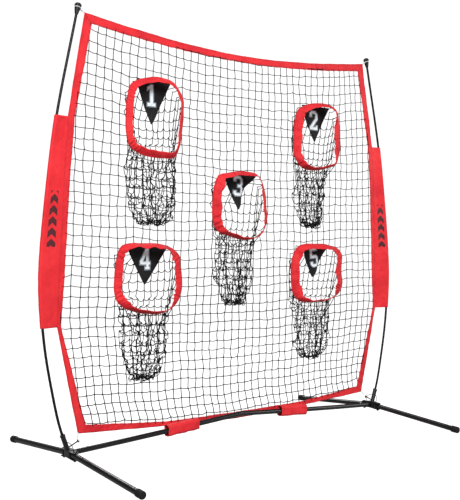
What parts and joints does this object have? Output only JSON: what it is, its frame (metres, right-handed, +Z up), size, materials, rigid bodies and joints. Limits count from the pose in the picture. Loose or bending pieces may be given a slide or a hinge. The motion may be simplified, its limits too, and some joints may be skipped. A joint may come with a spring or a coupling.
{
  "type": "pitching target net",
  "caption": "Bow-framed pitching target net: folding black steel base, bowed poles, square-mesh net with red-rimmed ball pockets, hanging catch bags and swinging number flags.",
  "frame": {"origin": "on the floor, midway between the two base hubs", "axes": "+X along the crossbar, -Y towards the thrower, +Z up"},
  "size_m": [2.3058, 1.282, 2.1409],
  "materials": {
    "powder_coat": "semi-gloss black powder coat",
    "black_fastener": "black zinc",
    "zinc_steel": "bright zinc",
    "pole_ferrule_metal": "drawn tube",
    "tip_plastic": "moulded",
    "fibreglass": "gloss black rod",
    "foot_rubber": "moulded rubber",
    "sleeve_fabric": "coated oxford weave",
    "border_webbing": "folded binding tape",
    "rim_fabric": "folded binding tape",
    "knotless_net": "knotless polyester net",
    "flag_fabric": "black oxford weave",
    "black_cord": "braided cord",
    "elastic_cord": "braided elastic cord"
  },
  "bodies": {
    "base_and_net": {"band_bottom": "border_webbing", "band_left": "border_webbing", "band_right": "border_webbing", "band_top": "border_webbing", "bar_loop_left": "border_webbing", "bar_loop_right": "border_webbing", "corner_cords_bottom": "elastic_cord", "corner_cords_top": "elastic_cord", "crossbar_ferrule": "zinc_steel", "crossbar_left": "powder_coat", "crossbar_right": "powder_coat", "flag_cords": "black_cord", "hub_left": "powder_coat", "hub_right": "powder_coat", "net_panel": "knotless_net", "pivot_bolts": "black_fastener", "pivot_nuts": "black_fastener", "pocket_bag_1": "knotless_net", "pocket_bag_2": "knotless_net", "pocket_bag_3": "knotless_net", "pocket_bag_4": "knotless_net", "pocket_bag_5": "knotless_net", "pocket_rim_1": "rim_fabric", "pocket_rim_2": "rim_fabric", "pocket_rim_3": "rim_fabric", "pocket_rim_4": "rim_fabric", "pocket_rim_5": "rim_fabric", "pole_ferrules": "pole_ferrule_metal", "pole_lower_left": "fibreglass", "pole_lower_right": "fibreglass", "pole_middle_left": "fibreglass", "pole_middle_right": "fibreglass", "pole_tip_left": "tip_plastic", "pole_tip_right": "tip_plastic", "pole_upper_left": "fibreglass", "pole_upper_right": "fibreglass", "sleeve_left": "sleeve_fabric", "sleeve_right": "sleeve_fabric", "snap_spring_centre": "zinc_steel", "snap_spring_left": "zinc_steel", "snap_spring_right": "zinc_steel"},
    "leg_front_left_body": {"leg_front_left": "powder_coat", "foot_cap_front_left": "foot_rubber"},
    "leg_back_left_body": {"leg_back_left": "powder_coat", "foot_cap_back_left": "foot_rubber"},
    "leg_front_right_body": {"leg_front_right": "powder_coat", "foot_cap_front_right": "foot_rubber"},
    "leg_back_right_body": {"leg_back_right": "powder_coat", "foot_cap_back_right": "foot_rubber"},
    "flag_body_1": {"number_flag_1": "flag_fabric"},
    "flag_body_2": {"number_flag_2": "flag_fabric"},
    "flag_body_3": {"number_flag_3": "flag_fabric"},
    "flag_body_4": {"number_flag_4": "flag_fabric"},
    "flag_body_5": {"number_flag_5": "flag_fabric"},
    "snap_body_left": {"snap_button_left": "zinc_steel"},
    "snap_body_right": {"snap_button_right": "zinc_steel"},
    "snap_body_centre": {"snap_button_centre": "zinc_steel"}
  },
  "joints": [
    {"name": "leg_fold_front_left", "type": "hinge", "parent": "base_and_net", "child": "leg_front_left_body", "pos_m": [-1, -0.055, 0.06082], "axis": [0, -0.0757, 0.9971], "range_deg": [0, 90]},
    {"name": "leg_fold_back_left", "type": "hinge", "parent": "base_and_net", "child": "leg_back_left_body", "pos_m": [-1, 0.055, 0.06082], "axis": [0, -0.0757, -0.9971], "range_deg": [0, 90]},
    {"name": "leg_fold_front_right", "type": "hinge", "parent": "base_and_net", "child": "leg_front_right_body", "pos_m": [1, -0.055, 0.06082], "axis": [0, 0.0757, -0.9971], "range_deg": [0, 90]},
    {"name": "leg_fold_back_right", "type": "hinge", "parent": "base_and_net", "child": "leg_back_right_body", "pos_m": [1, 0.055, 0.06082], "axis": [0, 0.0757, 0.9971], "range_deg": [0, 90]},
    {"name": "flag_swing_1", "type": "hinge", "parent": "base_and_net", "child": "flag_body_1", "pos_m": [-0.535, 0.034, 1.833], "axis": [1, 0, 0], "range_deg": [-20, 26]},
    {"name": "flag_swing_2", "type": "hinge", "parent": "base_and_net", "child": "flag_body_2", "pos_m": [0.555, 0.034, 1.814], "axis": [1, 0, 0], "range_deg": [-20, 26]},
    {"name": "flag_swing_3", "type": "hinge", "parent": "base_and_net", "child": "flag_body_3", "pos_m": [0.01, 0.03957, 1.398], "axis": [1, 0, 0], "range_deg": [-20, 26]},
    {"name": "flag_swing_4", "type": "hinge", "parent": "base_and_net", "child": "flag_body_4", "pos_m": [-0.565, 0.04731, 1.015], "axis": [1, 0, 0], "range_deg": [-20, 26]},
    {"name": "flag_swing_5", "type": "hinge", "parent": "base_and_net", "child": "flag_body_5", "pos_m": [0.572, 0.04731, 1.014], "axis": [1, 0, 0], "range_deg": [-20, 26]},
    {"name": "snap_press_left", "type": "slide", "parent": "base_and_net", "child": "snap_body_left", "axis": [0.0542, 0, -0.9985], "range_m": [0, 0.0032], "stiffness_N_per_m": 1500, "springref_m": -0.001, "deforming": ["snap_spring_left"]},
    {"name": "snap_press_right", "type": "slide", "parent": "base_and_net", "child": "snap_body_right", "axis": [-0.0542, 0, -0.9985], "range_m": [0, 0.0032], "stiffness_N_per_m": 1500, "springref_m": -0.001, "deforming": ["snap_spring_right"]},
    {"name": "snap_press_centre", "type": "slide", "parent": "base_and_net", "child": "snap_body_centre", "axis": [0.0723, 0, -0.9974], "range_m": [0, 0.0032], "stiffness_N_per_m": 1500, "springref_m": -0.001, "deforming": ["snap_spring_centre"]}
  ]
}
